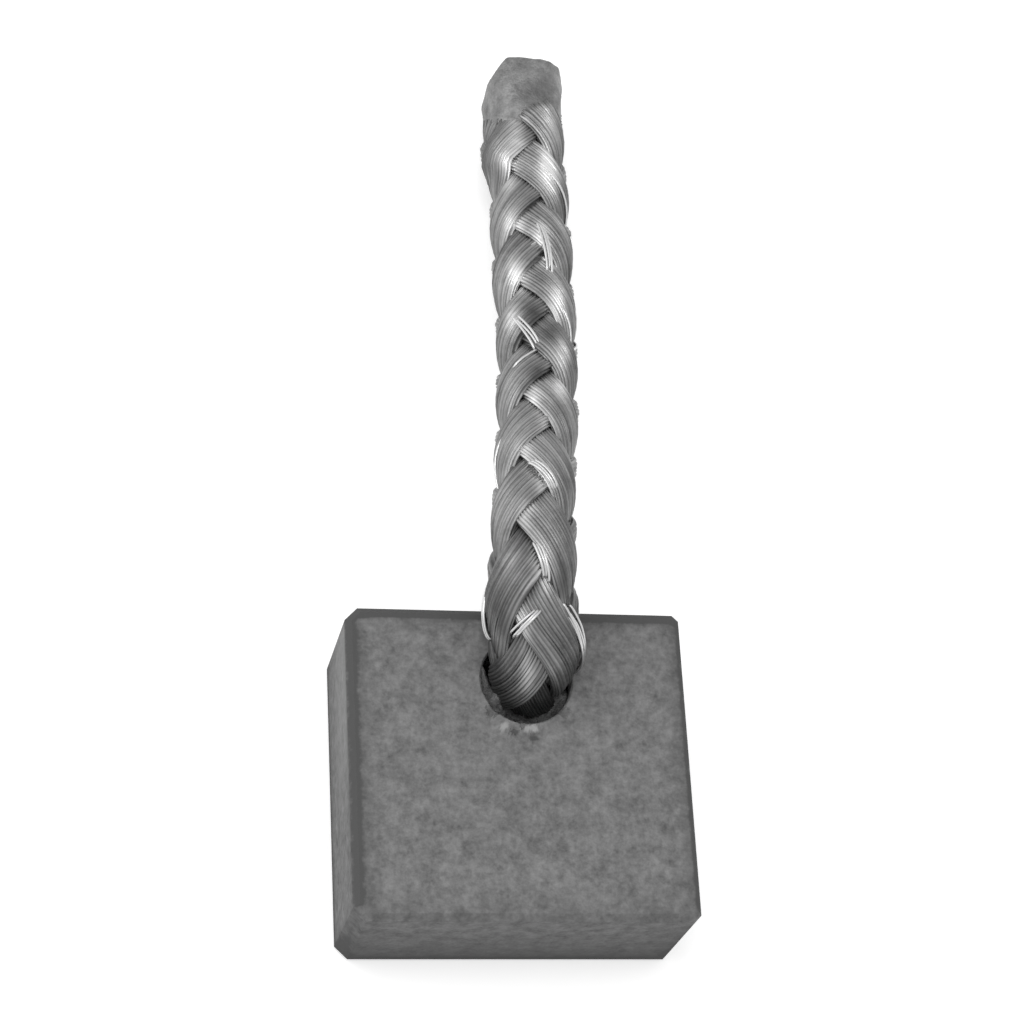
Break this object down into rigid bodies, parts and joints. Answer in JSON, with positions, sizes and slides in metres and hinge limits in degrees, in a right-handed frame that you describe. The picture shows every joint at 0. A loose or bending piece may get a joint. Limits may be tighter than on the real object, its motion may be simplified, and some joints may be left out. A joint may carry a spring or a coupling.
{
  "type": "carbon brush",
  "caption": "Rectangular carbon brush block; its braided lead stands in a blind hole near one edge, folds over that edge and comes down to the table, with a fused end.",
  "frame": {"origin": "middle of the block's plain back face, on which the brush lies", "axes": "+Z out of the wired face, -Y out of the contact face, +X to the right with the lead pointing away"},
  "size_m": [0.016, 0.0477, 0.0118],
  "materials": {
    "carbon": "matte",
    "tamped_powder": "matte",
    "tinned_braid": "satin",
    "solder": "satin"
  },
  "bodies": {
    "root": {"carbon_block": "carbon", "tamping_plug": "tamped_powder", "shunt_braid": "tinned_braid", "solder_tip": "solder"}
  },
  "joints": []
}
